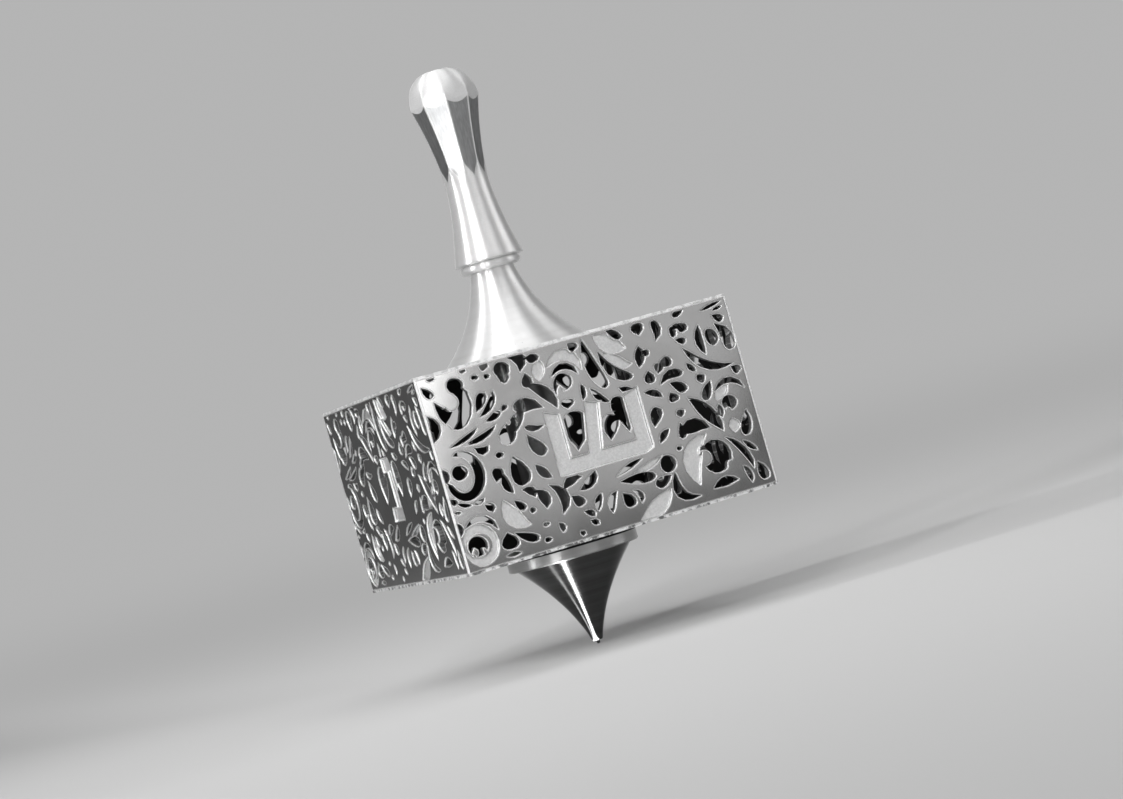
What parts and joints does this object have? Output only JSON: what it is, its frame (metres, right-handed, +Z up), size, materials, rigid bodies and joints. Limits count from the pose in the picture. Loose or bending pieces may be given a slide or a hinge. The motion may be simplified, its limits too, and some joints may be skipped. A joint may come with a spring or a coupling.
{
  "type": "dreidel",
  "caption": "Square spinning top with pierced scrollwork sides and sunk frosted leaves, a turned handle with a faceted knob and a polished turned tip.",
  "frame": {"origin": "the point that the top spins on, at the lowest end of its axis", "axes": "+Z up along the spinning axis, towards the handle; -Y is the front panel, +X the right panel"},
  "size_m": [0.044, 0.044, 0.08],
  "materials": {
    "turned_satin": "turned, satin",
    "sheet_plain": "satin",
    "sheet_pierced": "satin land, bright cut edges, frosted floors in the sunk leaves",
    "core_plain": "as drawn",
    "rod_steel": "rolled thread",
    "turned_polished": "polished"
  },
  "bodies": {
    "root": {"handle": "turned_satin", "bell": "turned_satin", "top_plate": "sheet_plain", "bottom_plate": "sheet_plain", "front_panel": "sheet_pierced", "right_panel": "sheet_pierced", "back_panel": "sheet_pierced", "left_panel": "sheet_pierced", "core_tube": "core_plain", "spindle_rod": "rod_steel", "flange_disc": "turned_polished", "tip": "turned_polished"}
  },
  "joints": []
}
